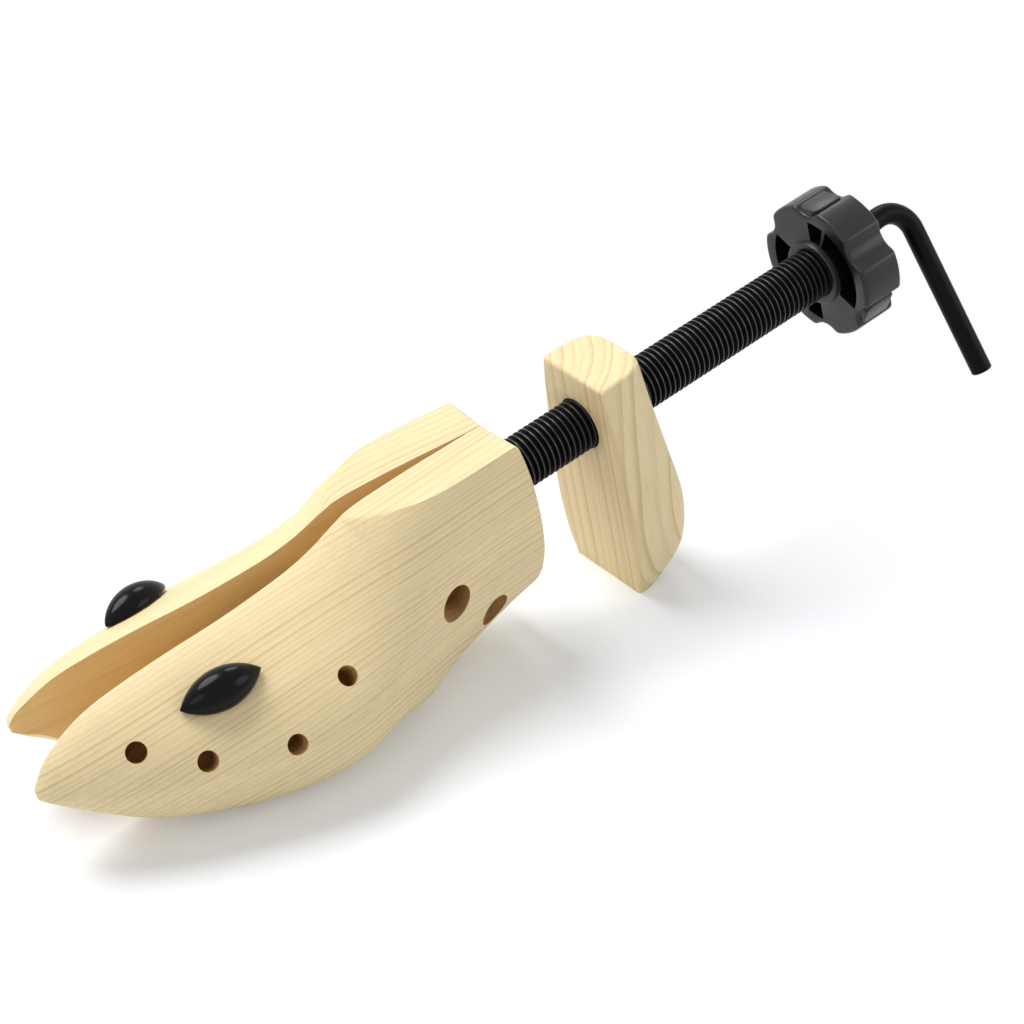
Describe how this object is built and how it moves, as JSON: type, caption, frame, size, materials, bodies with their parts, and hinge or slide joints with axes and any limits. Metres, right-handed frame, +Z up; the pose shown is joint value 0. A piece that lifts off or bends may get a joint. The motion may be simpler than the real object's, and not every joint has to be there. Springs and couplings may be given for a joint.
{
  "type": "shoe stretcher",
  "caption": "Wooden shoe stretcher with split hinged toe halves, threaded tube with lobed knob, sliding heel block, bent spreader key and push-in bunion plugs.",
  "frame": {"origin": "centre of the bounding box at the ground", "axes": "+X from toe to key along the stretcher, +Y to the left half, +Z up; as pictured, toe halves open, resting on sole and heel"},
  "size_m": [0.3942, 0.0964, 0.1205],
  "materials": {
    "pine": "sanded, unvarnished",
    "zinc_steel": "zinc plated",
    "brass_plated": "turned",
    "gloss_black": "polished",
    "black_plastic": "satin",
    "black_steel": "satin black",
    "cast_zinc": "as cast"
  },
  "bodies": {
    "bracket": {"tail_bracket": "zinc_steel"},
    "half_right": {"toe_half_right": "pine", "hinge_pin_right": "zinc_steel", "wear_plate_right": "zinc_steel", "wear_screws_right": "brass_plated"},
    "half_left": {"toe_half_left": "pine", "hinge_pin_left": "zinc_steel", "wear_plate_left": "zinc_steel", "wear_screws_left": "brass_plated"},
    "plug_right": {"bunion_plug_right": "gloss_black"},
    "plug_left": {"bunion_plug_left": "gloss_black"},
    "screw": {"screw_tube": "black_plastic", "thrust_washer": "brass_plated", "tube_clip": "zinc_steel", "star_knob": "black_plastic"},
    "heel": {"heel_block": "pine", "heel_nut": "black_plastic"},
    "key": {"spread_key": "black_steel", "key_washer": "brass_plated", "key_collar": "zinc_steel", "collar_pin": "zinc_steel"},
    "wedge": {"spreader": "cast_zinc", "spreader_nut": "brass_plated"}
  },
  "joints": [
    {"name": "key_turn", "type": "hinge", "parent": "bracket", "child": "key", "pos_m": [0.10255, 0, 0.08467], "axis": [0.9784, 0, 0.2067], "range_deg": [0, 3600]},
    {"name": "wedge_slide", "type": "slide", "parent": "bracket", "child": "wedge", "axis": [-0.9784, 0, -0.2067], "range_m": [0, 0.0201]},
    {"name": "half_right_hinge", "type": "hinge", "parent": "bracket", "child": "half_right", "pos_m": [-0.01682, -0.009, 0.05945], "axis": [-0.2067, 0, 0.9784], "range_deg": [-3.61, 0]},
    {"name": "half_left_hinge", "type": "hinge", "parent": "bracket", "child": "half_left", "pos_m": [-0.01682, 0.009, 0.05945], "axis": [-0.2067, 0, 0.9784], "range_deg": [0, 3.61]},
    {"name": "screw_turn", "type": "hinge", "parent": "bracket", "child": "screw", "pos_m": [0.06341, 0, 0.0764], "axis": [0.9784, 0, 0.2067], "range_deg": [-11790, 4716]},
    {"name": "heel_slide", "type": "slide", "parent": "bracket", "child": "heel", "axis": [0.9784, 0, 0.2067], "range_m": [-0.0301, 0.0751]},
    {"name": "plug_right_pull", "type": "slide", "parent": "half_right", "child": "plug_right", "axis": [-0.1561, -0.559, 0.8144], "range_m": [0, 0.02]},
    {"name": "plug_left_pull", "type": "slide", "parent": "half_left", "child": "plug_left", "axis": [-0.1561, 0.559, 0.8144], "range_m": [0, 0.02]}
  ],
  "couplings": [
    {"joint": "wedge_slide", "follows": "key_turn", "m_per_rad": 0.00031831},
    {"joint": "half_right_hinge", "follows": "key_turn", "ratio": -0.001},
    {"joint": "half_left_hinge", "follows": "key_turn", "ratio": 0.001},
    {"joint": "heel_slide", "follows": "screw_turn", "m_per_rad": -0.00036446}
  ]
}
